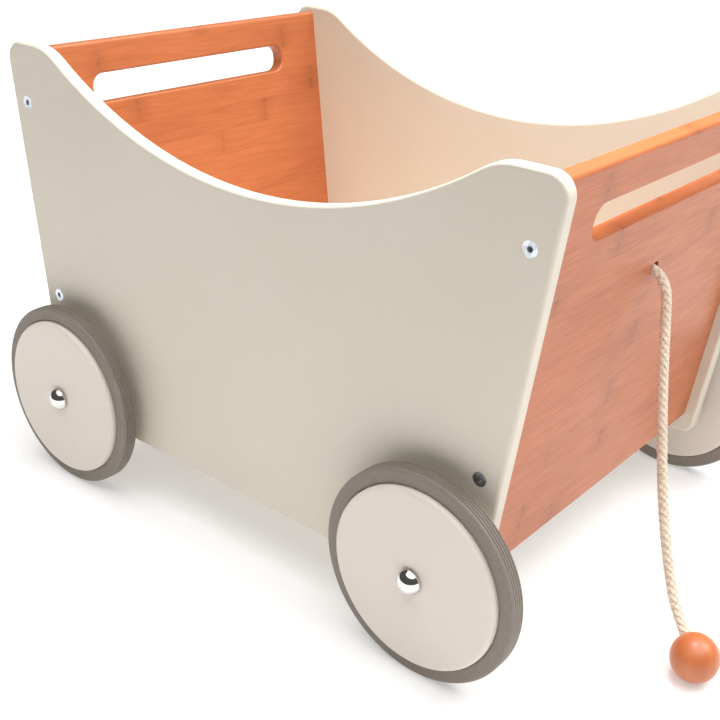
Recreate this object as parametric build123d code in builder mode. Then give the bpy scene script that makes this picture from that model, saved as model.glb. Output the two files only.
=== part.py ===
"""A wooden toy wagon: a flared open box on four wheels, with a pull rope that ends in a ball.

Millimetres. +X is forward, to the end with the rope, +Y is to the wagon's left, +Z is up.
The origin is on the ground under the middle of the box.
"""
import math
import os

from build123d import *

os.makedirs("parts", exist_ok=True)

# Box
BOX_OUTER_Y = 130.0
SIDE_THICKNESS = 9.0
BOX_INNER_Y = BOX_OUTER_Y - SIDE_THICKNESS
SIDE_BOTTOM_Z = 38.0
SIDE_TOP_Z = 273.0
SIDE_BOTTOM_HALF_LENGTH = 165.5
FLARE_DEG = 7.5
SIDE_DIP_Z = 222.0
SIDE_DIP_RADIUS = 273.0
EAR_RADIUS = 31.0
TOP_CORNER_RADIUS = 11.0
BOTTOM_CORNER_RADIUS = 8.0
SIDE_EDGE_ROUND = 2.0

# Bamboo end panels, set back from the ends of the side panels
END_THICKNESS = 10.0
END_RECESS = 7.5
END_BOTTOM_Z = 52.0
END_TOP_Z = 268.0
END_EDGE_ROUND = 2.5
SLOT_LENGTH = 168.0
SLOT_HEIGHT = 18.0
SLOT_CORNER_RADIUS = 8.0
SLOT_EDGE_ROUND = 1.5
SLOT_Z = 238.7

# Floor board, whose thinner tongue all round sits in grooves in the four panels
FLOOR_THICKNESS = 6.0
FLOOR_BOTTOM_Z = 66.0
FLOOR_EDGE_GAP = 0.2
TONGUE_THICKNESS = 4.5
TONGUE_HALF_LENGTH = 154.0
GROOVE_DEPTH = 3.0
GROOVE_CLEARANCE = 0.1

# Screws through the side panels into the ends of the end panels
SCREW_HEIGHTS_Z = (116.8, 237.6)
SCREW_HEAD_RADIUS = 4.0
SCREW_SHANK_RADIUS = 2.5
SCREW_LENGTH = 40.0
SCREW_TIP_LENGTH = 4.0
SCREW_SINK = 0.15
SCREW_TIP_GAP = 1.0
SOCKET_RADIUS = 1.75
SOCKET_DEPTH = 2.2
SCREW_HOLE_CLEARANCE = 0.05

# Axles and wheels; wheel widths are measured outwards from the wagon's middle plane
AXLE_X = 141.0
AXLE_Z = 58.5
AXLE_RADIUS = 3.0
AXLE_HALF_LENGTH = 155.2
AXLE_END_CHAMFER = 0.5
RUNNING_CLEARANCE = 0.05
BUSH_RADIUS = 5.0
BUSH_FLANGE_RADIUS = 6.5
BUSH_FLANGE = 1.0
PANEL_BUSH_INNER_Y = 119.8
SPACER_RADIUS = 6.0
SPACER_OUTER_Y = 135.6
WHEEL_INNER_Y = 137.0
WHEEL_OUTER_Y = 150.5
DISC_RADIUS = 50.0
DISC_EDGE_ROUND = 2.5
TYRE_RADIUS = 58.5
TYRE_OUTER_Y = 147.0
TYRE_SEAT_RADIUS = 48.0
TYRE_LIP = 1.8
TYRE_SHOULDER_ROUND = 2.0
TYRE_RIM_ROUND = 1.3
TREAD_GROOVES = 4
TREAD_GROOVE_PITCH = 1.75
TREAD_GROOVE_WIDTH = 0.7
TREAD_GROOVE_DEPTH = 0.7
CAP_RADIUS = 7.0
CAP_INNER_Y = 151.5
CAP_FLANGE = 0.8
CAP_OUTER_Y = 157.2

# Pull rope and ball
ROPE_RADIUS = 3.0
ROPE_HOLE_RADIUS = 4.0
ROPE_HOLE_Z = 193.3
KNOT_RADIUS = 8.5
KNOT_LENGTH = 12.0
KNOT_ROUND = 3.5
BALL_RADIUS = 13.0
BALL_CENTRE = Vector(254.9, -53.3, 13.05)
BALL_BORE_END = 6.0
BALL_BORE_CLEARANCE = 0.05
BALL_BORE_END_GAP = 0.02
ROPE_STRAIGHT_EXIT = 0.5

FLARE = math.radians(FLARE_DEG)
TONGUE_MIDDLE_Z = FLOOR_BOTTOM_Z + TONGUE_THICKNESS / 2


def side_edge_x(z):
    """Half length of a side panel at height z."""
    return SIDE_BOTTOM_HALF_LENGTH + (z - SIDE_BOTTOM_Z) * math.tan(FLARE)


def end_face_x(z, depth):
    """X of a point at height z in the front panel, at a depth behind its outer face."""
    return side_edge_x(z) - (END_RECESS + depth) / math.cos(FLARE)


def end_plane(end, z):
    """Plane on the outer face of the front (end = 1) or rear (end = -1) panel, its y up the panel."""
    origin = (end * end_face_x(z, 0), 0, z)
    return Plane(origin=origin, x_dir=(0, end, 0), z_dir=(end * math.cos(FLARE), 0, -math.sin(FLARE)))


def side_plane(x, y, z):
    """Plane on a side panel's outer face at x, z, looking outwards, for y of that side."""
    side = math.copysign(1, y)
    return Plane(origin=(x, y, z), x_dir=(-side, 0, 0), z_dir=(0, side, 0))


def along_axle(x, side):
    """Plane through an axle whose x runs outwards along the axle and whose y is the radius."""
    return Plane(origin=(x, 0, AXLE_Z), x_dir=(0, side, 0), z_dir=(side, 0, 0))


def export(builder, name):
    builder.part.label = name
    export_step(builder.part, "parts/" + name + ".step")


ENDS = {"front": 1, "rear": -1}
SIDES = {"right": -1, "left": 1}

# Screw centres lie on the middle plane of the end panels
SCREW_XZ = [(end * end_face_x(z, END_THICKNESS / 2), z) for end in (1, -1) for z in SCREW_HEIGHTS_Z]

# ---------------------------------------------------------------------------------- side panels
# The dip is one large arc between two ear arcs, each tangent to the dip and to the flat ear top.
dip_centre_z = SIDE_DIP_Z + SIDE_DIP_RADIUS
ear_centre_z = SIDE_TOP_Z - EAR_RADIUS
arc_distance = SIDE_DIP_RADIUS + EAR_RADIUS
ear_x = math.sqrt(arc_distance**2 - (dip_centre_z - ear_centre_z) ** 2)
join_x = ear_x * SIDE_DIP_RADIUS / arc_distance
join_z = dip_centre_z - (dip_centre_z - ear_centre_z) * SIDE_DIP_RADIUS / arc_distance
top_corner_x = side_edge_x(SIDE_TOP_Z)

with BuildPart() as side_panel_right:
    with BuildSketch(Plane.XZ.offset(BOX_OUTER_Y)) as side_outline:
        with BuildLine():
            Polyline(
                (-ear_x, SIDE_TOP_Z),
                (-top_corner_x, SIDE_TOP_Z),
                (-SIDE_BOTTOM_HALF_LENGTH, SIDE_BOTTOM_Z),
                (SIDE_BOTTOM_HALF_LENGTH, SIDE_BOTTOM_Z),
                (top_corner_x, SIDE_TOP_Z),
                (ear_x, SIDE_TOP_Z),
            )
            TangentArc((ear_x, SIDE_TOP_Z), (join_x, join_z), tangent=(-1, 0))
            ThreePointArc((join_x, join_z), (0, SIDE_DIP_Z), (-join_x, join_z))
            TangentArc((-ear_x, SIDE_TOP_Z), (-join_x, join_z), tangent=(1, 0))
        make_face()
        fillet(side_outline.vertices().group_by(Axis.Y)[0], BOTTOM_CORNER_RADIUS)
        top_corners = side_outline.vertices().sort_by(Axis.X)
        fillet([top_corners[0], top_corners[-1]], TOP_CORNER_RADIUS)
    extrude(amount=-SIDE_THICKNESS)
    side_faces = side_panel_right.faces().sort_by(Axis.Y)
    fillet(side_faces[0].edges() + side_faces[-1].edges(), SIDE_EDGE_ROUND)
    with Locations(*[side_plane(x, -BOX_OUTER_Y, z) for x, z in SCREW_XZ]):
        CounterSinkHole(
            radius=SCREW_SHANK_RADIUS + SCREW_HOLE_CLEARANCE,
            counter_sink_radius=SCREW_HEAD_RADIUS + SCREW_SINK + SCREW_HOLE_CLEARANCE,
            depth=SIDE_THICKNESS,
            counter_sink_angle=90,
        )
    with Locations(*[side_plane(end * AXLE_X, -BOX_OUTER_Y, AXLE_Z) for end in (1, -1)]):
        Hole(radius=BUSH_RADIUS, depth=SIDE_THICKNESS)
    with Locations((0, -BOX_INNER_Y, TONGUE_MIDDLE_Z)):
        Box(
            2 * (TONGUE_HALF_LENGTH + GROOVE_CLEARANCE),
            2 * (GROOVE_DEPTH + GROOVE_CLEARANCE),
            TONGUE_THICKNESS + 2 * GROOVE_CLEARANCE,
            mode=Mode.SUBTRACT,
        )
export(side_panel_right, "side_panel_right")

with BuildPart() as side_panel_left:
    mirror(side_panel_right.part, about=Plane.XZ)
export(side_panel_left, "side_panel_left")


# ----------------------------------------------------------------------------------- end panels
def make_end_panel(end):
    bottom = end_plane(end, END_BOTTOM_Z)
    height = (END_TOP_Z - END_BOTTOM_Z) / math.cos(FLARE)
    slot_height = (SLOT_Z - END_BOTTOM_Z) / math.cos(FLARE)
    with BuildPart() as panel:
        with BuildSketch(bottom):
            Rectangle(2 * BOX_INNER_Y, height, align=(Align.CENTER, Align.MIN))
        extrude(amount=-END_THICKNESS)
        long_edges = panel.edges().filter_by(Axis.Y).group_by(Axis.Z)
        fillet(long_edges[-1] + long_edges[-2], END_EDGE_ROUND)
        with BuildSketch(bottom):
            with Locations((0, slot_height)):
                RectangleRounded(SLOT_LENGTH, SLOT_HEIGHT, SLOT_CORNER_RADIUS)
        extrude(amount=-END_THICKNESS, mode=Mode.SUBTRACT)
        broad_faces = panel.faces().sort_by(SortBy.AREA)[-2:]
        slot_edges = broad_faces[0].inner_wires()[0].edges() + broad_faces[1].inner_wires()[0].edges()
        fillet(slot_edges, SLOT_EDGE_ROUND)
        with Locations((0, 0, TONGUE_MIDDLE_Z)):
            Box(
                2 * (TONGUE_HALF_LENGTH + GROOVE_CLEARANCE),
                2 * BOX_INNER_Y,
                TONGUE_THICKNESS + 2 * GROOVE_CLEARANCE,
                mode=Mode.SUBTRACT,
            )
        screw_reach = SCREW_LENGTH - SIDE_THICKNESS + SCREW_TIP_GAP
        for x, z in SCREW_XZ:
            if x * end < 0:
                continue
            with Locations(side_plane(x, -BOX_INNER_Y, z), side_plane(x, BOX_INNER_Y, z)):
                Hole(radius=SCREW_SHANK_RADIUS + SCREW_HOLE_CLEARANCE, depth=screw_reach)
        if end > 0:
            with Locations(end_plane(end, ROPE_HOLE_Z)):
                Hole(radius=ROPE_HOLE_RADIUS, depth=END_THICKNESS)
    return panel


for name, end in ENDS.items():
    export(make_end_panel(end), name + "_panel")

# ----------------------------------------------------------------------------------- floor board
tongue_top_z = FLOOR_BOTTOM_Z + TONGUE_THICKNESS
floor_top_half_length = end_face_x(tongue_top_z, END_THICKNESS) - FLOOR_EDGE_GAP

with BuildPart() as floor_board:
    with BuildSketch(Plane.XY.offset(FLOOR_BOTTOM_Z)):
        Rectangle(2 * TONGUE_HALF_LENGTH, 2 * (BOX_INNER_Y + GROOVE_DEPTH))
    extrude(amount=TONGUE_THICKNESS)
    with BuildSketch(Plane.XY.offset(tongue_top_z)):
        Rectangle(2 * floor_top_half_length, 2 * (BOX_INNER_Y - FLOOR_EDGE_GAP))
    extrude(amount=FLOOR_THICKNESS - TONGUE_THICKNESS)
export(floor_board, "floor_board")

# ---------------------------------------------------------------------------------------- screws
with BuildPart() as panel_screws:
    for x, z in SCREW_XZ:
        for side in (-1, 1):
            head = side_plane(x, side * (BOX_OUTER_Y - SCREW_SINK), z)
            cone = SCREW_HEAD_RADIUS - SCREW_SHANK_RADIUS
            profile_plane = Plane(origin=head.origin, x_dir=(1, 0, 0), z_dir=(0, 0, side))
            with BuildSketch(profile_plane):
                with BuildLine():
                    Polyline(
                        (0, 0),
                        (SCREW_HEAD_RADIUS, 0),
                        (SCREW_SHANK_RADIUS, -cone),
                        (SCREW_SHANK_RADIUS, SCREW_TIP_LENGTH - SCREW_LENGTH),
                        (0, -SCREW_LENGTH),
                        close=True,
                    )
                make_face()
            revolve(axis=Axis(head.origin, (0, 1, 0)))
            with BuildSketch(head):
                RegularPolygon(SOCKET_RADIUS, 6)
            extrude(amount=-SOCKET_DEPTH, mode=Mode.SUBTRACT)
export(panel_screws, "panel_screws")

# ---------------------------------------------------------------------- axles, bushes and spacers
for name, end in ENDS.items():
    with BuildPart() as axle:
        with BuildSketch(Plane.XZ.offset(-AXLE_HALF_LENGTH)):
            with Locations((end * AXLE_X, AXLE_Z)):
                Circle(AXLE_RADIUS)
        extrude(amount=2 * AXLE_HALF_LENGTH)
        chamfer(axle.edges().filter_by(GeomType.CIRCLE), AXLE_END_CHAMFER)
    export(axle, name + "_axle")

corners = [(end * AXLE_X, side) for end in (1, -1) for side in (-1, 1)]

with BuildPart() as panel_bushes:
    for x, side in corners:
        with BuildSketch(along_axle(x, side)):
            with BuildLine():
                Polyline(
                    (PANEL_BUSH_INNER_Y, AXLE_RADIUS),
                    (BOX_OUTER_Y, AXLE_RADIUS),
                    (BOX_OUTER_Y, BUSH_RADIUS),
                    (BOX_INNER_Y, BUSH_RADIUS),
                    (BOX_INNER_Y, BUSH_FLANGE_RADIUS),
                    (PANEL_BUSH_INNER_Y, BUSH_FLANGE_RADIUS),
                    close=True,
                )
            make_face()
        revolve(axis=Axis((x, 0, AXLE_Z), (0, 1, 0)))
export(panel_bushes, "panel_bushes")

with BuildPart() as axle_spacers:
    for x, side in corners:
        with BuildSketch(side_plane(x, side * BOX_OUTER_Y, AXLE_Z)):
            Circle(SPACER_RADIUS)
            Circle(AXLE_RADIUS, mode=Mode.SUBTRACT)
        extrude(amount=SPACER_OUTER_Y - BOX_OUTER_Y)
export(axle_spacers, "axle_spacers")

# Each cap is part of a sphere whose centre is on the axle, so its profile is one arc
rim_y = CAP_INNER_Y + CAP_FLANGE
dome_height = CAP_OUTER_Y - rim_y
dome_radius = (CAP_RADIUS**2 + dome_height**2) / (2 * dome_height)
half_angle = math.asin(CAP_RADIUS / dome_radius) / 2
dome_middle = (
    CAP_OUTER_Y - dome_radius * (1 - math.cos(half_angle)),
    dome_radius * math.sin(half_angle),
)

with BuildPart() as axle_caps:
    for x, side in corners:
        with BuildSketch(along_axle(x, side)):
            with BuildLine():
                Polyline(
                    (CAP_OUTER_Y, 0),
                    (AXLE_HALF_LENGTH, 0),
                    (AXLE_HALF_LENGTH, AXLE_RADIUS),
                    (CAP_INNER_Y, AXLE_RADIUS),
                    (CAP_INNER_Y, CAP_RADIUS),
                    (rim_y, CAP_RADIUS),
                )
                ThreePointArc((rim_y, CAP_RADIUS), dome_middle, (CAP_OUTER_Y, 0))
            make_face()
        revolve(axis=Axis((x, 0, AXLE_Z), (0, 1, 0)))
export(axle_caps, "axle_caps")


# ---------------------------------------------------------------------------------------- wheels
def make_disc(x, side):
    """Wheel disc with a seat round its rim, between two low lips, for the tyre's bead."""
    seat_inner = WHEEL_INNER_Y + TYRE_LIP
    seat_outer = TYRE_OUTER_Y - TYRE_LIP
    with BuildPart() as disc:
        with BuildSketch(along_axle(x, side)) as profile:
            with BuildLine():
                Polyline(
                    (WHEEL_INNER_Y, BUSH_RADIUS),
                    (WHEEL_OUTER_Y, BUSH_RADIUS),
                    (WHEEL_OUTER_Y, DISC_RADIUS),
                    (seat_outer, DISC_RADIUS),
                    (seat_outer, TYRE_SEAT_RADIUS),
                    (seat_inner, TYRE_SEAT_RADIUS),
                    (seat_inner, DISC_RADIUS),
                    (WHEEL_INNER_Y, DISC_RADIUS),
                    close=True,
                )
            make_face()
        revolve(axis=Axis((x, 0, AXLE_Z), (0, 1, 0)))
        outer_face = disc.faces().filter_by(Axis.Y).sort_by(Axis((0, 0, 0), (0, side, 0)))[-1]
        outer_rim = outer_face.edges().sort_by(SortBy.LENGTH)[-1]
        fillet(outer_rim, DISC_EDGE_ROUND)
    return disc


def make_tyre(x, side):
    """Rubber tyre: a bead in the disc's seat, walls rounded off at both edges and a grooved tread."""
    middle = (WHEEL_INNER_Y + TYRE_OUTER_Y) / 2
    tread = [(WHEEL_INNER_Y, TYRE_RADIUS)]
    for index in range(TREAD_GROOVES):
        centre = middle + (index - (TREAD_GROOVES - 1) / 2) * TREAD_GROOVE_PITCH
        tread.append((centre - TREAD_GROOVE_WIDTH / 2, TYRE_RADIUS))
        tread.append((centre, TYRE_RADIUS - TREAD_GROOVE_DEPTH))
        tread.append((centre + TREAD_GROOVE_WIDTH / 2, TYRE_RADIUS))
    tread.append((TYRE_OUTER_Y, TYRE_RADIUS))
    with BuildPart() as tyre:
        with BuildSketch(along_axle(x, side)):
            with BuildLine():
                Polyline(
                    *tread,
                    (TYRE_OUTER_Y, DISC_RADIUS),
                    (TYRE_OUTER_Y - TYRE_LIP, DISC_RADIUS),
                    (TYRE_OUTER_Y - TYRE_LIP, TYRE_SEAT_RADIUS),
                    (WHEEL_INNER_Y + TYRE_LIP, TYRE_SEAT_RADIUS),
                    (WHEEL_INNER_Y + TYRE_LIP, DISC_RADIUS),
                    (WHEEL_INNER_Y, DISC_RADIUS),
                    close=True,
                )
            make_face()
        revolve(axis=Axis((x, 0, AXLE_Z), (0, 1, 0)))
        walls = tyre.faces().filter_by(Axis.Y).sort_by(Axis.Y)
        wall_edges = [wall.edges().sort_by(SortBy.LENGTH) for wall in (walls[0], walls[-1])]
        fillet([edges[-1] for edges in wall_edges], TYRE_SHOULDER_ROUND)
        walls = tyre.faces().filter_by(Axis.Y).sort_by(Axis.Y)
        rim_edges = [wall.edges().sort_by(SortBy.LENGTH)[0] for wall in (walls[0], walls[-1])]
        fillet(rim_edges, TYRE_RIM_ROUND)
    return tyre


def make_hub_bush(x, side):
    """Flanged plastic bush, pressed into the disc, that turns on the axle."""
    bore = AXLE_RADIUS + RUNNING_CLEARANCE
    with BuildPart() as bush:
        with BuildSketch(along_axle(x, side)):
            with BuildLine():
                Polyline(
                    (WHEEL_INNER_Y - BUSH_FLANGE, bore),
                    (WHEEL_OUTER_Y, bore),
                    (WHEEL_OUTER_Y, BUSH_RADIUS),
                    (WHEEL_INNER_Y, BUSH_RADIUS),
                    (WHEEL_INNER_Y, BUSH_FLANGE_RADIUS),
                    (WHEEL_INNER_Y - BUSH_FLANGE, BUSH_FLANGE_RADIUS),
                    close=True,
                )
            make_face()
        revolve(axis=Axis((x, 0, AXLE_Z), (0, 1, 0)))
    return bush


for end_name, end in ENDS.items():
    for side_name, side in SIDES.items():
        corner = end_name + "_" + side_name
        export(make_disc(end * AXLE_X, side), "wheel_disc_" + corner)
        export(make_tyre(end * AXLE_X, side), "tyre_" + corner)
        export(make_hub_bush(end * AXLE_X, side), "hub_bush_" + corner)

# ---------------------------------------------------------------------------- pull rope and ball
hole = end_plane(1, ROPE_HOLE_Z)
rope_start = hole.origin - hole.z_dir * END_THICKNESS
rope_corners = [
    hole.origin + hole.z_dir * ROPE_STRAIGHT_EXIT,
    Vector(186.4, -0.5, 185.9),
    Vector(189.2, -2.3, 175.3),
    Vector(192.0, -5.8, 162.0),
    Vector(196.8, -11.4, 141.5),
    Vector(203.4, -17.2, 112.6),
    Vector(211.0, -22.8, 81.0),
    Vector(219.5, -28.6, 56.5),
    Vector(227.5, -34.2, 38.2),
    Vector(237.8, -41.4, 23.2),
]
into_ball = (BALL_CENTRE - rope_corners[-1]).normalized()
rope_end = BALL_CENTRE - into_ball * BALL_BORE_END
route = [rope_start, *rope_corners, rope_end]
runs = [(b - a).length for a, b in zip(route, route[1:])]
turns = [(b - a).get_angle(c - b) for a, b, c in zip(route, route[1:], route[2:])]
bend_radii = [
    0.45 * min(runs[i], runs[i + 1]) / math.tan(math.radians(turn / 2)) for i, turn in enumerate(turns)
]

with BuildPart() as pull_rope:
    with BuildLine() as rope_line:
        FilletPolyline(*route, radius=bend_radii)
    with BuildSketch(Plane(origin=rope_start, z_dir=hole.z_dir)):
        Circle(ROPE_RADIUS)
    sweep()
export(pull_rope, "pull_rope")

rope_length = rope_line.wire().length
print("rope length", round(rope_length, 1))
print("rope runs", [round(run, 1) for run in runs])
print("rope turns", [round(turn, 1) for turn in turns])
print("rope bend radii", [round(radius, 1) for radius in bend_radii])
print("rope volume / (section x length)",
      round(pull_rope.part.volume / (math.pi * ROPE_RADIUS**2 * rope_length), 4))

# The knot is a ball of rope, flat where it bears on the inside of the front panel
with BuildPart() as rope_knot:
    with BuildSketch(Plane(origin=rope_start, x_dir=(0, 1, 0), z_dir=hole.z_dir)):
        Circle(KNOT_RADIUS)
    extrude(amount=-KNOT_LENGTH)
    fillet(rope_knot.edges().filter_by(GeomType.CIRCLE), KNOT_ROUND)
export(rope_knot, "rope_knot")

with BuildPart() as pull_ball:
    with Locations(BALL_CENTRE):
        Sphere(BALL_RADIUS)
    with BuildSketch(Plane(origin=rope_end + into_ball * BALL_BORE_END_GAP, z_dir=-into_ball)):
        Circle(ROPE_RADIUS + BALL_BORE_CLEARANCE)
    extrude(amount=BALL_RADIUS, mode=Mode.SUBTRACT)
export(pull_ball, "pull_ball")
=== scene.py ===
"""Looks of the wooden toy wagon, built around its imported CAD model.

Metres, in the model's own frame: +X is forward, to the end with the rope, +Y is to the wagon's
left, +Z is up, and the origin is on the ground under the middle of the box.
"""
import math

import bpy
import numpy as np
from mathutils import Matrix, Vector


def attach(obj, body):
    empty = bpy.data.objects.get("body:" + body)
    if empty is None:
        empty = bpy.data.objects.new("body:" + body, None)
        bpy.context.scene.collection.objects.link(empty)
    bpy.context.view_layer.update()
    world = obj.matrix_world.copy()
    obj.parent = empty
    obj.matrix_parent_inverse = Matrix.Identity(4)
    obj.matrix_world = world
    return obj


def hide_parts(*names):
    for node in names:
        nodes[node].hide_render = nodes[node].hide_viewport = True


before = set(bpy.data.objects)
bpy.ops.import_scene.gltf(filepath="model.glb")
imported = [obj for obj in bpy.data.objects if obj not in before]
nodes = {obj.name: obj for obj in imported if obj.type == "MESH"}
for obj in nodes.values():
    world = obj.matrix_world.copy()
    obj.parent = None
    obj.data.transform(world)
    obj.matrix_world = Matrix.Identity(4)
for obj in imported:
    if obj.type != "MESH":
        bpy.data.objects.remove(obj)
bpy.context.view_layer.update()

CORNERS = [end + "_" + side for end in ("front", "rear") for side in ("right", "left")]

# ------------------------------------------------------------------------------------------ camera
CAMERA_PLACE = (0.41285, -0.52203, 0.40057)
CAMERA_AZIMUTH = 37.285
CAMERA_ELEVATION = 23.483
CAMERA_ROLL = 2.809
CAMERA_LENS = 56.46
CAMERA_SENSOR = 36
CAMERA_SHIFT = (-0.0628, -0.0600)
CAMERA_NEAREST = 0.01


def make_camera():
    data = bpy.data.cameras.new("camera")
    data.lens = CAMERA_LENS
    data.sensor_width = CAMERA_SENSOR
    data.shift_x, data.shift_y = CAMERA_SHIFT
    data.clip_start = CAMERA_NEAREST
    camera = bpy.data.objects.new("camera", data)
    bpy.context.scene.collection.objects.link(camera)
    turn = Matrix.Rotation(math.radians(CAMERA_AZIMUTH), 4, "Z")
    tilt = Matrix.Rotation(math.radians(90 - CAMERA_ELEVATION), 4, "X")
    roll = Matrix.Rotation(math.radians(CAMERA_ROLL), 4, "Z")
    camera.matrix_world = Matrix.Translation(CAMERA_PLACE) @ turn @ tilt @ roll
    bpy.context.scene.camera = camera


make_camera()

# -------------------------------------------------------------------------------------------- rope
ROPE_ROUTE = [
    (0.16847, 0.0, 0.19461),
    (0.17888, 0.0, 0.19324),
    (0.1864, -0.0005, 0.1859),
    (0.1892, -0.0023, 0.1753),
    (0.1920, -0.0058, 0.1620),
    (0.1968, -0.0114, 0.1415),
    (0.2034, -0.0172, 0.1126),
    (0.2110, -0.0228, 0.0810),
    (0.2195, -0.0286, 0.0565),
    (0.2275, -0.0342, 0.0382),
    (0.2378, -0.0414, 0.0232),
    (0.25047, -0.05022, 0.01568),
]
ROUTE_RESOLUTION = 40
ROPE_STEP = 0.0006

# The braid: four strands wind each way, over one and under one, round a plain core
STRANDS_EACH_WAY = 4
BRAID_PITCH = 0.0170
BRAID_RADIUS = 0.00185
BRAID_WAVE = 0.00042
STRAND_WIDTH = 0.0024
STRAND_THICKNESS = 0.0015
STRAND_YARNS = 4
STRAND_SIDES = 16
YARN_DEPTH = 0.09
CORE_RADIUS = 0.0017


def spline_points(name, control_points):
    """Points along a NURBS spline with these control points, as Blender gives them."""
    curve = bpy.data.curves.new(name, "CURVE")
    curve.dimensions = "3D"
    curve.resolution_u = ROUTE_RESOLUTION
    spline = curve.splines.new("NURBS")
    spline.points.add(len(control_points) - 1)
    for point, place in zip(spline.points, control_points):
        point.co = (*place, 1)
    spline.order_u = 3
    spline.use_endpoint_u = True
    holder = bpy.data.objects.new(name, curve)
    mesh = bpy.data.meshes.new_from_object(holder)
    points = np.array([vertex.co for vertex in mesh.vertices], float)
    bpy.data.objects.remove(holder)
    bpy.data.curves.remove(curve)
    bpy.data.meshes.remove(mesh)
    return points


def respaced(points, step):
    """The same line with points about step apart, and how far along it each one is."""
    lengths = np.linalg.norm(np.diff(points, axis=0), axis=1)
    along = np.concatenate([[0], np.cumsum(lengths)])
    places = np.linspace(0, along[-1], int(along[-1] / step) + 1)
    line = np.stack([np.interp(places, along, points[:, axis]) for axis in range(3)], axis=1)
    return line, places


def unit(vectors):
    return vectors / np.linalg.norm(vectors, axis=-1, keepdims=True)


def carried_frames(line):
    """Two directions square to the line at each of its points, turned as little as possible."""
    tangents = unit(np.gradient(line, axis=0))
    normals = [unit(np.cross(tangents[0], (0.0, 1.0, 0.0)))]
    for tangent in tangents[1:]:
        normals.append(unit(normals[-1] - tangent * (normals[-1] @ tangent)))
    normals = np.array(normals)
    return normals, np.cross(tangents, normals)


class Surface:
    """Faces gathered from several tubes, and turned into one mesh object at the end."""

    def __init__(self):
        self.points = []
        self.faces = []
        self.uvs = []

    def add_tube(self, rings, lengths):
        """rings is stations x sides x 3; lengths gives each station's place along the tube."""
        stations, sides = rings.shape[:2]
        first = sum(len(block) for block in self.points)
        self.points.append(rings.reshape(-1, 3))
        for i in range(stations - 1):
            for j in range(sides):
                quad = [(i, j), (i, j + 1), (i + 1, j + 1), (i + 1, j)]
                self.faces.append([first + a * sides + b % sides for a, b in quad])
                self.uvs += [(b / sides, lengths[a]) for a, b in quad]
        for i in (0, stations - 1):
            ring = [first + i * sides + j for j in range(sides)]
            self.faces.append(ring[::-1] if i == 0 else ring)
            self.uvs += [(0.5, lengths[i])] * sides

    def make(self, name):
        mesh = bpy.data.meshes.new(name)
        mesh.from_pydata(np.concatenate(self.points).tolist(), [], self.faces)
        layer = mesh.uv_layers.new(name="UVMap")
        layer.data.foreach_set("uv", np.array(self.uvs, np.float32).ravel())
        mesh.polygons.foreach_set("use_smooth", [True] * len(mesh.polygons))
        mesh.update()
        piece = bpy.data.objects.new(name, mesh)
        bpy.context.scene.collection.objects.link(piece)
        return piece


def across(amounts, directions):
    """Each station's direction, taken once by each side's amount: stations x sides x 3."""
    return amounts[None, :, None] * directions[:, None, :]


def braided(name, route, stands_for, tightness=1.0):
    """A piece of braided rope along a route, and the line that it follows."""
    line, along = respaced(spline_points(name + "_route", route), ROPE_STEP)
    normal, binormal = carried_frames(line)
    turns = np.linspace(0, 2 * math.pi, STRAND_SIDES, endpoint=False)
    yarns = 1 - YARN_DEPTH * (0.5 + 0.5 * np.cos(2 * STRAND_YARNS * turns))
    wide = STRAND_WIDTH / 2 * np.cos(turns) * yarns
    thick = STRAND_THICKNESS / 2 * np.sin(turns) * yarns
    surface = Surface()
    for way in (1, -1):
        wave = way * np.cos(2 * math.pi * STRANDS_EACH_WAY * along / BRAID_PITCH)
        radius = (BRAID_RADIUS + BRAID_WAVE * wave) * tightness
        for index in range(STRANDS_EACH_WAY):
            start = 2 * math.pi * index / STRANDS_EACH_WAY
            angle = way * 2 * math.pi * along / BRAID_PITCH + start
            outward = np.cos(angle)[:, None] * normal + np.sin(angle)[:, None] * binormal
            path = line + radius[:, None] * outward
            sideways = unit(np.cross(unit(np.gradient(path, axis=0)), outward))
            section = across(wide, sideways) + across(thick, outward)
            surface.add_tube(path[:, None, :] + section * tightness, along)
    circle = across(np.cos(turns), normal) + across(np.sin(turns), binormal)
    surface.add_tube(line[:, None, :] + CORE_RADIUS * tightness * circle, along)
    piece = surface.make(name)
    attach(piece, "wagon")
    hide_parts(stands_for)
    return piece, line


# ----------------------------------------------------------------------------------- stopper knot
PANEL_LEAN = math.radians(7.5)
KNOT_AXIS = Vector((-math.cos(PANEL_LEAN), 0, math.sin(PANEL_LEAN)))
KNOT_LOBES = 3
KNOT_POINTS_A_LOBE = 9
KNOT_MIDDLE = 0.0062
KNOT_INNER_RADIUS = 0.0028
KNOT_OUTER_RADIUS = 0.0056
KNOT_RISE = 0.0029
KNOT_TIGHTNESS = 0.93

# Before and after the loops: how far behind the panel's inner face, to the left and up
KNOT_LEAD = [(0.0005, 0, 0), (0.0024, 0.0008, 0)]
KNOT_TAIL = [(0.0095, -0.0050, 0.0030), (0.0115, -0.0085, 0.0005), (0.0125, -0.0115, -0.0035)]


def knot_route():
    """An overhand knot, drawn tight against the inside of the front panel, with a short tail."""
    points = KNOT_LOBES * KNOT_POINTS_A_LOBE
    mean = (KNOT_INNER_RADIUS + KNOT_OUTER_RADIUS) / 2
    swing = (KNOT_OUTER_RADIUS - KNOT_INNER_RADIUS) / 2
    loops = []
    for step in range(1, points - 2):
        turn = 2 * math.pi * step / points
        depth = KNOT_MIDDLE - KNOT_RISE * math.sin(KNOT_LOBES * turn)
        left = swing * math.sin(turn) + mean * math.sin(2 * turn)
        high = swing * math.cos(turn) - mean * math.cos(2 * turn)
        loops.append((depth, left, high))

    start = Vector(ROPE_ROUTE[0])
    leftward = Vector((0, 1, 0))
    up = KNOT_AXIS.cross(leftward)
    return [
        tuple(start + KNOT_AXIS * depth + leftward * left + up * high)
        for depth, left, high in KNOT_LEAD + loops + KNOT_TAIL
    ]


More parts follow.
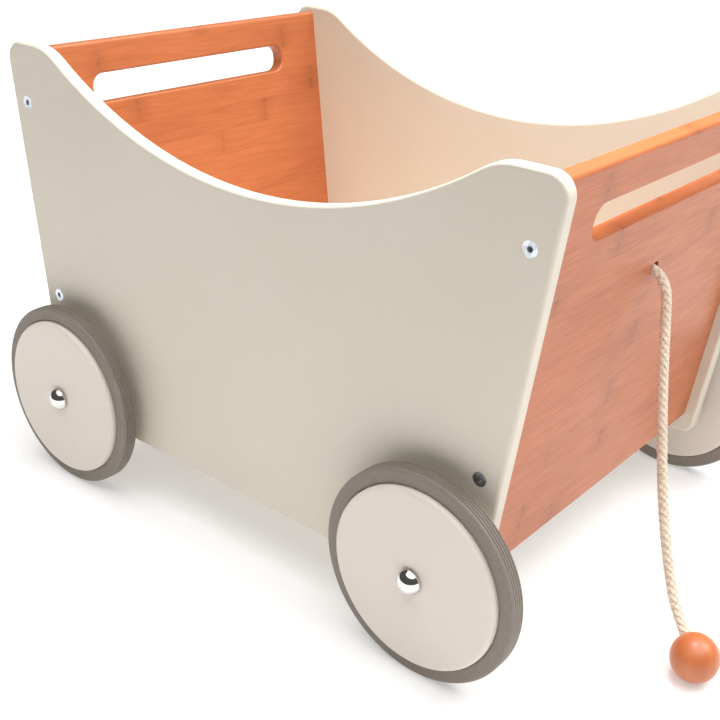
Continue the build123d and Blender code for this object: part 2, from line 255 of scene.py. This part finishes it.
rope, rope_line = braided("braided_pull_rope", ROPE_ROUTE, "pull_rope")
knot, knot_line = braided("stopper_knot", knot_route(), "rope_knot", KNOT_TIGHTNESS)


# --------------------------------------------------------------------------------------- materials
class Finish:
    """A material, with short calls for the nodes that the finishes share."""

    def __init__(self, name, **values):
        self.material = bpy.data.materials.new(name)
        self.material.use_nodes = True
        self.tree = self.material.node_tree
        self.shader = next(node for node in self.tree.nodes if node.type == "BSDF_PRINCIPLED")
        for socket, value in values.items():
            self.set(socket.replace("_", " "), value)

    def feed(self, socket, value):
        if isinstance(value, bpy.types.NodeSocket):
            self.tree.links.new(value, socket)
        else:
            socket.default_value = value

    def set(self, socket, value):
        self.feed(self.shader.inputs[socket], value)

    def add(self, kind, inputs, **settings):
        node = self.tree.nodes.new("ShaderNode" + kind)
        for key, value in settings.items():
            setattr(node, key, value)
        for key, value in inputs.items():
            self.feed(node.inputs[key], value)
        return node

    def math(self, operation, *values):
        return self.add("Math", dict(enumerate(values)), operation=operation).outputs[0]

    def product(self, first, *others):
        for other in others:
            first = self.math("MULTIPLY", first, other)
        return first

    def place(self):
        return self.add("TexCoord", {}).outputs["Object"]

    def scaled(self, vector, scale):
        return self.add("VectorMath", {0: vector, 1: scale}, operation="MULTIPLY").outputs[0]

    def shifted(self, vector, offset):
        return self.add("VectorMath", {0: vector, 1: offset}, operation="ADD").outputs[0]

    def noise(self, vector, scale, detail=3.0, roughness=0.55):
        inputs = {"Vector": vector, "Scale": scale, "Detail": detail, "Roughness": roughness}
        return self.add("TexNoise", inputs).outputs["Fac"]

    def off_middle(self, value):
        """0 where value is half way between whole numbers, and 0.5 at a whole number."""
        return self.math("ABSOLUTE", self.math("SUBTRACT", self.math("FRACT", value), 0.5))

    def random(self, value):
        return self.add("TexWhiteNoise", {"W": value}, noise_dimensions="1D").outputs["Value"]

    def ranged(self, value, low, high, to_low=0.0, to_high=1.0):
        """value from low to high, turned smoothly into to_low to to_high and held beyond them."""
        inputs = {
            "Value": value,
            "From Min": low,
            "From Max": high,
            "To Min": to_low,
            "To Max": to_high,
        }
        return self.add("MapRange", inputs, interpolation_type="SMOOTHSTEP").outputs["Result"]

    def mix(self, amount, first, second):
        node = self.add("Mix", {}, data_type="RGBA")
        self.feed(node.inputs["Factor"], amount)
        for socket, value in zip([s for s in node.inputs if s.type == "RGBA"], (first, second)):
            self.feed(socket, value)
        return next(s for s in node.outputs if s.type == "RGBA")

    def tinted(self, first, second, value, low, high, most=1.0):
        """first, turned towards second by up to most as value goes from low to high."""
        return self.mix(self.ranged(value, low, high, 0.0, most), first, second)

    def bump(self, height, distance, strength=1.0):
        inputs = {"Height": height, "Distance": distance, "Strength": strength}
        self.set("Normal", self.add("Bump", inputs).outputs["Normal"])


def colour(red, green, blue):
    return (red, green, blue, 1.0)


CREAM = colour(0.735, 0.672, 0.560)
CREAM_WARM = colour(0.760, 0.690, 0.585)
# Lighter cream laid along convex edges: a painted edge highlight
CREAM_EDGE_HIGHLIGHT = colour(0.83, 0.79, 0.70)
WHEEL_CREAM = colour(0.775, 0.700, 0.620)
WHEEL_CREAM_WARM = colour(0.800, 0.720, 0.645)
# Lighter wheel cream laid along convex edges: a painted edge highlight
WHEEL_CREAM_EDGE_HIGHLIGHT = colour(0.85, 0.80, 0.73)
BAMBOO_LIGHT = colour(0.565, 0.178, 0.064)
BAMBOO_MID = colour(0.480, 0.132, 0.042)
BAMBOO_DARK = colour(0.365, 0.094, 0.030)
BAMBOO_KNUCKLE = colour(0.27, 0.075, 0.028)
RUBBER_DARK = colour(0.215, 0.180, 0.150)
RUBBER_LIGHT = colour(0.265, 0.226, 0.192)
RUBBER_DUST = colour(0.345, 0.320, 0.280)
ZINC = colour(0.66, 0.70, 0.74)
ZINC_DULL = colour(0.42, 0.45, 0.49)
STEEL = colour(0.62, 0.62, 0.63)
STEEL_DULL = colour(0.42, 0.41, 0.40)
CHROME = colour(0.78, 0.76, 0.74)
CHROME_DULL = colour(0.68, 0.66, 0.64)
NYLON_DARK = colour(0.70, 0.68, 0.63)
NYLON_LIGHT = colour(0.80, 0.785, 0.74)
COTTON_SHADE = colour(0.68, 0.53, 0.39)
COTTON = colour(0.92, 0.80, 0.65)
COTTON_PALE = colour(0.93, 0.82, 0.68)
STAIN_DARK = colour(0.52, 0.142, 0.044)
STAIN_LIGHT = colour(0.63, 0.205, 0.070)
STAIN_PORE = colour(0.30, 0.07, 0.02)
WHITE = colour(1.0, 1.0, 1.0)
TABLE_WHITE = colour(0.70, 0.695, 0.69)

# How deep each surface's relief is
PAINT_RELIEF = 0.00006
BAMBOO_RELIEF = 0.00009
RUBBER_RELIEF = 0.00005
STEEL_SCRATCHES = 0.00003
CHROME_SCRATCHES = 0.000003
NYLON_RELIEF = 0.00003
COTTON_RELIEF = 0.00018
BALL_RELIEF = 0.00004

# How far from an edge the painted edge highlight reaches
EDGE_HIGHLIGHT_REACH = 0.003

# Bamboo: the height of a strip, and the distance between the knuckles along it
STRIP_HEIGHT = 0.0165
KNUCKLE_PITCH = 0.165
STRIP_SHIFT = 3.0
OTHER_SEED = 37.5


def paint(name, base, warm, edge_highlight):
    """Satin paint on board: a faint orange peel, cloudy tone and a painted highlight in patches
    along the edges.
    """
    finish = Finish(name, IOR=1.45)
    place = finish.place()
    clouds = finish.noise(place, 9.0)
    fine = finish.noise(place, 160.0, 4.0, 0.6)
    peel = finish.noise(place, 900.0, 2.0)
    tone = finish.tinted(base, warm, clouds, 0.3, 0.7)
    # Painted edge highlight: near a convex edge the colour turns in patches towards the lighter
    # cream, as if the rounded edges caught the light
    inside = {"Distance": EDGE_HIGHLIGHT_REACH}
    edge = finish.add("AmbientOcclusion", inside, inside=True, samples=6).outputs["AO"]
    painted_edge_highlight = finish.product(
        finish.ranged(edge, 0.35, 0.75, 1.0, 0.0),
        finish.ranged(fine, 0.4, 0.65, 0.1, 0.8),
    )
    finish.set("Base Color", finish.mix(painted_edge_highlight, tone, edge_highlight))
    finish.set("Roughness", finish.ranged(fine, 0.25, 0.75, 0.38, 0.50))
    finish.bump(finish.math("ADD", peel, finish.product(fine, 1.5)), PAINT_RELIEF)
    return finish.material


def bamboo():
    """Oiled bamboo: level strips with their own tone, long fibres and a knuckle now and then."""
    finish = Finish("bamboo", IOR=1.5)
    place = finish.place()
    axes = finish.add("SeparateXYZ", {"Vector": place}).outputs

    # The strips, one above the other, each with two random numbers of its own
    wander = finish.product(finish.noise(place, 6.0, 1.0), 0.06)
    level = finish.math("ADD", finish.math("DIVIDE", axes["Z"], STRIP_HEIGHT), wander)
    strip = finish.math("FLOOR", level)
    seed = finish.random(strip)
    other = finish.random(finish.math("ADD", strip, OTHER_SEED))
    offset = finish.add("CombineXYZ", {"Y": finish.product(seed, STRIP_SHIFT)}).outputs[0]
    own = finish.shifted(place, offset)

    # The fibres run along Y
    fibres = finish.noise(finish.scaled(own, (1.0, 0.035, 1.0)), 1100.0, 4.0, 0.62)
    streaks = finish.noise(finish.scaled(own, (1.0, 0.10, 1.0)), 150.0)
    clouds = finish.noise(finish.scaled(own, (1.0, 0.35, 1.0)), 26.0, 2.0)

    # The knuckles: a thin broken line in a soft halo, on some strips more than on others
    ragged = finish.product(finish.noise(own, 420.0, 2.0), 0.035)
    shift = finish.math("ADD", seed, ragged)
    phase = finish.math("ADD", finish.math("DIVIDE", axes["Y"], KNUCKLE_PITCH), shift)
    from_knuckle = finish.off_middle(phase)
    halo = finish.ranged(from_knuckle, 0.0, 0.085, 1.0, 0.0)
    line = finish.ranged(from_knuckle, 0.0, 0.014, 1.0, 0.0)
    present = finish.ranged(other, 0.25, 0.45, 0.25, 1.0)
    broken = finish.ranged(finish.noise(own, 300.0, 2.0), 0.38, 0.62)
    mark = finish.product(line, present, finish.product(broken, 0.65))

    tone = finish.tinted(BAMBOO_MID, BAMBOO_LIGHT, fibres, 0.30, 0.70)
    tone = finish.tinted(tone, BAMBOO_DARK, streaks, 0.48, 0.80, 0.55)
    tone = finish.mix(finish.product(other, 0.30), tone, BAMBOO_LIGHT)
    tone = finish.tinted(tone, BAMBOO_DARK, clouds, 0.45, 0.75, 0.30)
    tone = finish.mix(finish.product(halo, present, 0.28), tone, BAMBOO_KNUCKLE)
    tone = finish.mix(mark, tone, BAMBOO_KNUCKLE)
    seam = finish.off_middle(level)
    finish.set("Base Color", finish.tinted(tone, BAMBOO_DARK, seam, 0.485, 0.5, 0.22))
    finish.set("Roughness", finish.ranged(fibres, 0.25, 0.75, 0.46, 0.34))
    finish.bump(finish.math("SUBTRACT", fibres, finish.product(mark, 0.8)), BAMBOO_RELIEF, 0.8)
    return finish.material


def rubber():
    """Matt grey brown rubber with a fine grain and a little dust."""
    finish = Finish("tyre_rubber", IOR=1.5)
    place = finish.place()
    grain = finish.noise(place, 1400.0, 3.0, 0.6)
    dust = finish.noise(place, 55.0, 4.0, 0.6)
    base = finish.tinted(RUBBER_DARK, RUBBER_LIGHT, grain, 0.3, 0.7)
    finish.set("Base Color", finish.tinted(base, RUBBER_DUST, dust, 0.50, 0.75, 0.35))
    finish.set("Roughness", finish.ranged(dust, 0.3, 0.7, 0.48, 0.66))
    finish.bump(grain, RUBBER_RELIEF)
    return finish.material


def metal(name, base, dull, low, high, scratches):
    """Plated or drawn steel, with fine scratches and patchy gloss, from roughness low to high."""
    finish = Finish(name, Metallic=1.0)
    place = finish.place()
    patches = finish.noise(place, 240.0, 4.0, 0.6)
    lines = finish.noise(finish.scaled(place, (1.0, 14.0, 1.0)), 700.0, 2.0)
    finish.set("Base Color", finish.tinted(base, dull, patches, 0.4, 0.7, 0.6))
    finish.set("Roughness", finish.ranged(patches, 0.3, 0.7, low, high))
    finish.bump(lines, scratches)
    return finish.material


def nylon():
    """Slightly milky moulded plastic."""
    finish = Finish("nylon", IOR=1.53, Subsurface_Weight=0.15, Subsurface_Scale=0.002)
    cloud = finish.noise(finish.place(), 300.0)
    finish.set("Base Color", finish.tinted(NYLON_DARK, NYLON_LIGHT, cloud, 0.3, 0.7))
    finish.set("Roughness", finish.ranged(cloud, 0.3, 0.7, 0.35, 0.5))
    finish.bump(cloud, NYLON_RELIEF)
    return finish.material


def cotton():
    """Undyed cotton yarn: fine fibres along each strand and a soft sheen."""
    finish = Finish("cotton_rope", Sheen_Weight=0.35, Sheen_Roughness=0.5, Specular_IOR_Level=0.2)
    place = finish.place()
    around = finish.add("UVMap", {}).outputs["UV"]
    yarn = finish.noise(finish.scaled(around, (26.0, 900.0, 1.0)), 1.0, 4.0, 0.65)
    fluff = finish.noise(place, 2600.0, 3.0, 0.7)
    patch = finish.noise(place, 90.0, 2.0)
    tone = finish.tinted(COTTON_SHADE, COTTON, yarn, 0.3, 0.7)
    finish.set("Base Color", finish.tinted(tone, COTTON_PALE, patch, 0.35, 0.7, 0.35))
    finish.set("Roughness", finish.ranged(fluff, 0.3, 0.7, 0.75, 0.95))
    finish.bump(finish.math("ADD", yarn, fluff), COTTON_RELIEF)
    return finish.material


def stained_ball():
    """Turned hardwood, stained orange brown and varnished, with close growth rings."""
    finish = Finish("ball_wood", IOR=1.5, Coat_Weight=0.35, Coat_Roughness=0.28)
    place = finish.place()
    rings = finish.noise(finish.scaled(place, (60.0, 60.0, 9.0)), 1.0)
    pores = finish.noise(finish.scaled(place, (1.0, 1.0, 0.12)), 1500.0, 3.0, 0.6)
    tone = finish.tinted(STAIN_DARK, STAIN_LIGHT, rings, 0.3, 0.7)
    finish.set("Base Color", finish.tinted(tone, STAIN_PORE, pores, 0.55, 0.8, 0.45))
    finish.set("Roughness", finish.ranged(pores, 0.3, 0.7, 0.36, 0.5))
    finish.bump(pores, BALL_RELIEF)
    return finish.material


def dress(piece, material):
    piece.data.materials.clear()
    piece.data.materials.append(material)


def at_corners(kind):
    return [kind + "_" + corner for corner in CORNERS]


# The record's slot: its material, and the nodes that wear it
FINISHES = {
    "cream_paint": (
        paint("cream_paint", CREAM, CREAM_WARM, CREAM_EDGE_HIGHLIGHT),
        ["side_panel_right", "side_panel_left", "floor_board"],
    ),
    "wheel_paint": (
        paint("wheel_paint", WHEEL_CREAM, WHEEL_CREAM_WARM, WHEEL_CREAM_EDGE_HIGHLIGHT),
        at_corners("wheel_disc"),
    ),
    "bamboo": (bamboo(), ["front_panel", "rear_panel"]),
    "tyre_rubber": (rubber(), at_corners("tyre")),
    "zinc_steel": (
        metal("zinc_steel", ZINC, ZINC_DULL, 0.18, 0.36, STEEL_SCRATCHES),
        ["panel_screws"],
    ),
    "axle_steel": (
        metal("axle_steel", STEEL, STEEL_DULL, 0.25, 0.45, STEEL_SCRATCHES),
        ["front_axle", "rear_axle"],
    ),
    "cap_chrome": (
        metal("cap_chrome", CHROME, CHROME_DULL, 0.05, 0.11, CHROME_SCRATCHES),
        ["axle_caps"],
    ),
    "nylon": (nylon(), ["panel_bushes", "axle_spacers"] + at_corners("hub_bush")),
    "ball_wood": (stained_ball(), ["pull_ball"]),
}

for slot, (material, names) in FINISHES.items():
    for name in names:
        dress(nodes[name], material)
rope_cotton = cotton()
dress(rope, rope_cotton)
dress(knot, rope_cotton)

# ------------------------------------------------------------------------------- floor and lights
FLOOR_CORNERS = ((-6.0, -1.2), (8.0, 20.0))
FLOOR_GLOW = 0.38
KEY_AZIMUTH = math.radians(47.0)
KEY_ELEVATION = math.radians(52.0)
KEY_STRENGTH = 1.1
KEY_SPREAD = math.radians(30.0)
SOFTBOX_AXIS = (0.12, 0.0, 0.993)
SOFTBOX_EDGES = (0.70, 0.93)
SOFTBOX_GLOW = 3.4
STUDIO_GLOW = 0.09
FILL_PLACE = (0.13, -0.02, 0.55)
FILL_SIZE = 0.16
FILL_POWER = 1.7


def make_floor():
    """A white table top, lit from below as well as from above."""
    (left, near), (right, far) = FLOOR_CORNERS
    corners = [(left, near, 0), (right, near, 0), (right, far, 0), (left, far, 0)]
    mesh = bpy.data.meshes.new("floor")
    mesh.from_pydata(corners, [], [(0, 1, 2, 3)])
    floor = bpy.data.objects.new("floor", mesh)
    bpy.context.scene.collection.objects.link(floor)
    finish = Finish(
        "floor_white", Roughness=0.9, Specular_IOR_Level=0.1, Emission_Strength=FLOOR_GLOW
    )
    finish.set("Base Color", TABLE_WHITE)
    finish.set("Emission Color", WHITE)
    dress(floor, finish.material)


def make_key():
    """A large soft light from the far left."""
    level = math.cos(KEY_ELEVATION)
    towards = Vector(
        (level * math.cos(KEY_AZIMUTH), level * math.sin(KEY_AZIMUTH), math.sin(KEY_ELEVATION))
    )
    data = bpy.data.lights.new("key", "SUN")
    data.energy = KEY_STRENGTH
    data.angle = KEY_SPREAD
    key = bpy.data.objects.new("key", data)
    key.rotation_mode = "QUATERNION"
    key.rotation_quaternion = towards.to_track_quat("Z", "Y")
    bpy.context.scene.collection.objects.link(key)


def make_fill():
    """A small soft box above the open box, which lights its inside."""
    data = bpy.data.lights.new("fill", "AREA")
    data.energy = FILL_POWER
    data.size = FILL_SIZE
    fill = bpy.data.objects.new("fill", data)
    fill.location = FILL_PLACE
    bpy.context.scene.collection.objects.link(fill)


def make_world():
    """A dim studio with a large soft box overhead."""
    world = bpy.data.worlds.new("studio")
    bpy.context.scene.world = world
    world.use_nodes = True
    tree = world.node_tree
    background = next(node for node in tree.nodes if node.type == "BACKGROUND")
    background.inputs["Color"].default_value = WHITE
    direction = tree.nodes.new("ShaderNodeTexCoord").outputs["Generated"]
    facing = tree.nodes.new("ShaderNodeVectorMath")
    facing.operation = "DOT_PRODUCT"
    facing.inputs[1].default_value = SOFTBOX_AXIS
    tree.links.new(direction, facing.inputs[0])
    glow = tree.nodes.new("ShaderNodeMapRange")
    glow.interpolation_type = "SMOOTHSTEP"
    glow.inputs["From Min"].default_value, glow.inputs["From Max"].default_value = SOFTBOX_EDGES
    glow.inputs["To Min"].default_value = STUDIO_GLOW
    glow.inputs["To Max"].default_value = SOFTBOX_GLOW
    tree.links.new(facing.outputs["Value"], glow.inputs["Value"])
    tree.links.new(glow.outputs["Result"], background.inputs["Strength"])


make_floor()
make_key()
make_fill()
make_world()
bpy.context.scene.view_settings.view_transform = "Standard"
